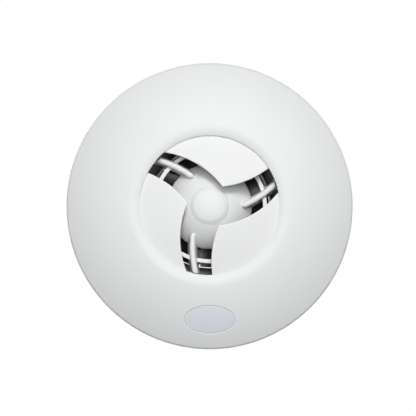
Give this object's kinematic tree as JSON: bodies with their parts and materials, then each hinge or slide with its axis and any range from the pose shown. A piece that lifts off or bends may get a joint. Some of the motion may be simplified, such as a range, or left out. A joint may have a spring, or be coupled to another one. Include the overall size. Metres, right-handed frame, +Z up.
{
  "type": "bathroom extractor fan",
  "caption": "Round wall extractor fan with a domed white cover, a motorised iris shutter part open over a hub with curved fins, and an axial impeller in a round duct spigot.",
  "frame": {"origin": "the fan's axis at the plane of the wall, where the spigot meets the back of the wall plate", "axes": "+Y along the axis into the wall and the duct, -Y into the room, +Z up, +X to the right for someone facing the fan"},
  "size_m": [0.22, 0.0995, 0.22],
  "materials": {
    "cover_white": "moulded ABS, fine satin gloss",
    "petal_white": "moulded ABS, satin gloss",
    "guard_white": "moulded ABS, satin gloss",
    "badge_grey": "plain pale grey label plate",
    "housing_charcoal": "moulded ABS, fine texture",
    "carrier_charcoal": "moulded ABS",
    "ring_acetal": "natural acetal",
    "pinion_nylon": "natural nylon",
    "impeller_dark": "glass-filled nylon",
    "screw_steel": "zinc-plated steel",
    "shaft_steel": "ground steel",
    "bearing_steel": "polished bearing steel",
    "lamination_steel": "varnished laminations",
    "motor_can": "plated steel can",
    "bracket_steel": "pressed steel",
    "winding_copper": "enamelled copper wire",
    "soft_rubber": "moulded rubber",
    "board_green": "solder-masked glass fibre",
    "relay_blue": "moulded case",
    "capacitor_tan": "dipped case",
    "chip_black": "moulded epoxy",
    "connector_ivory": "nylon",
    "terminal_brass": "plain brass",
    "lead_insulation": "PVC insulation"
  },
  "bodies": {
    "fan_body": {"cover": "cover_white", "badge_plate": "badge_grey", "petal_carrier": "carrier_charcoal", "carrier_screws": "screw_steel", "ring_washers": "screw_steel", "shutter_motor": "motor_can", "shutter_motor_screws": "screw_steel", "guard_frame": "guard_white", "housing": "housing_charcoal", "duct_spigot": "housing_charcoal", "stator_core": "lamination_steel", "stator_coils": "winding_copper", "motor_mounts": "soft_rubber", "rear_bracket": "bracket_steel", "bracket_screws": "screw_steel", "front_bearing": "bearing_steel", "rear_bearing": "bearing_steel", "circuit_board": "board_green", "relay": "relay_blue", "capacitor": "capacitor_tan", "control_chip": "chip_black", "timer_body": "relay_blue", "motor_connector": "connector_ivory", "shutter_connector": "connector_ivory", "supply_connector": "connector_ivory", "board_screws": "screw_steel", "terminal_block": "connector_ivory", "terminal_screws": "terminal_brass", "cable_clamp": "connector_ivory", "clamp_screws": "screw_steel", "cable_grommet": "soft_rubber", "supply_leads": "lead_insulation", "motor_lead": "lead_insulation", "shutter_leads": "lead_insulation"},
    "rotor": {"rotor_core": "lamination_steel", "shaft": "shaft_steel", "impeller": "impeller_dark", "impeller_nut": "screw_steel"},
    "drive_ring": {"drive_ring": "ring_acetal"},
    "petal_top": {"petal_top": "petal_white"},
    "petal_left": {"petal_left": "petal_white"},
    "petal_right": {"petal_right": "petal_white"},
    "shutter_pinion": {"shutter_pinion": "pinion_nylon"},
    "timer_knob": {"timer_knob": "connector_ivory"}
  },
  "joints": [
    {"name": "rotor_spin", "type": "hinge", "parent": "fan_body", "child": "rotor", "pos_m": [0, 0, 0], "axis": [0, -1, 0], "continuous": true},
    {"name": "ring_turn", "type": "hinge", "parent": "fan_body", "child": "drive_ring", "pos_m": [0, -0.019, 0], "axis": [0, -1, 0], "range_deg": [-3.3, 6.54]},
    {"name": "petal_top_swing", "type": "hinge", "parent": "fan_body", "child": "petal_top", "pos_m": [-0.04292, -0.02517, 0.04002], "axis": [-0.2212, -0.9531, 0.2063], "range_deg": [-16.1, 31.91]},
    {"name": "petal_left_swing", "type": "hinge", "parent": "fan_body", "child": "petal_left", "pos_m": [-0.0132, -0.02517, -0.05718], "axis": [-0.068, -0.9531, -0.2947], "range_deg": [-16.1, 31.91]},
    {"name": "petal_right_swing", "type": "hinge", "parent": "fan_body", "child": "petal_right", "pos_m": [0.05612, -0.02517, 0.01716], "axis": [0.2893, -0.9531, 0.0884], "range_deg": [-16.1, 31.91]},
    {"name": "pinion_spin", "type": "hinge", "parent": "fan_body", "child": "shutter_pinion", "pos_m": [0.07881, -0.019, 0.0455], "axis": [0, -1, 0], "range_deg": [-112.5, 56.8]},
    {"name": "timer_adjust", "type": "hinge", "parent": "fan_body", "child": "timer_knob", "pos_m": [-0.04933, -0.011, 0.07045], "axis": [0, -1, 0], "range_deg": [-135, 135]}
  ],
  "couplings": [
    {"joint": "petal_top_swing", "follows": "ring_turn", "ratio": 4.88},
    {"joint": "petal_left_swing", "follows": "ring_turn", "ratio": 4.88},
    {"joint": "petal_right_swing", "follows": "ring_turn", "ratio": 4.88},
    {"joint": "pinion_spin", "follows": "ring_turn", "ratio": -17.2}
  ]
}
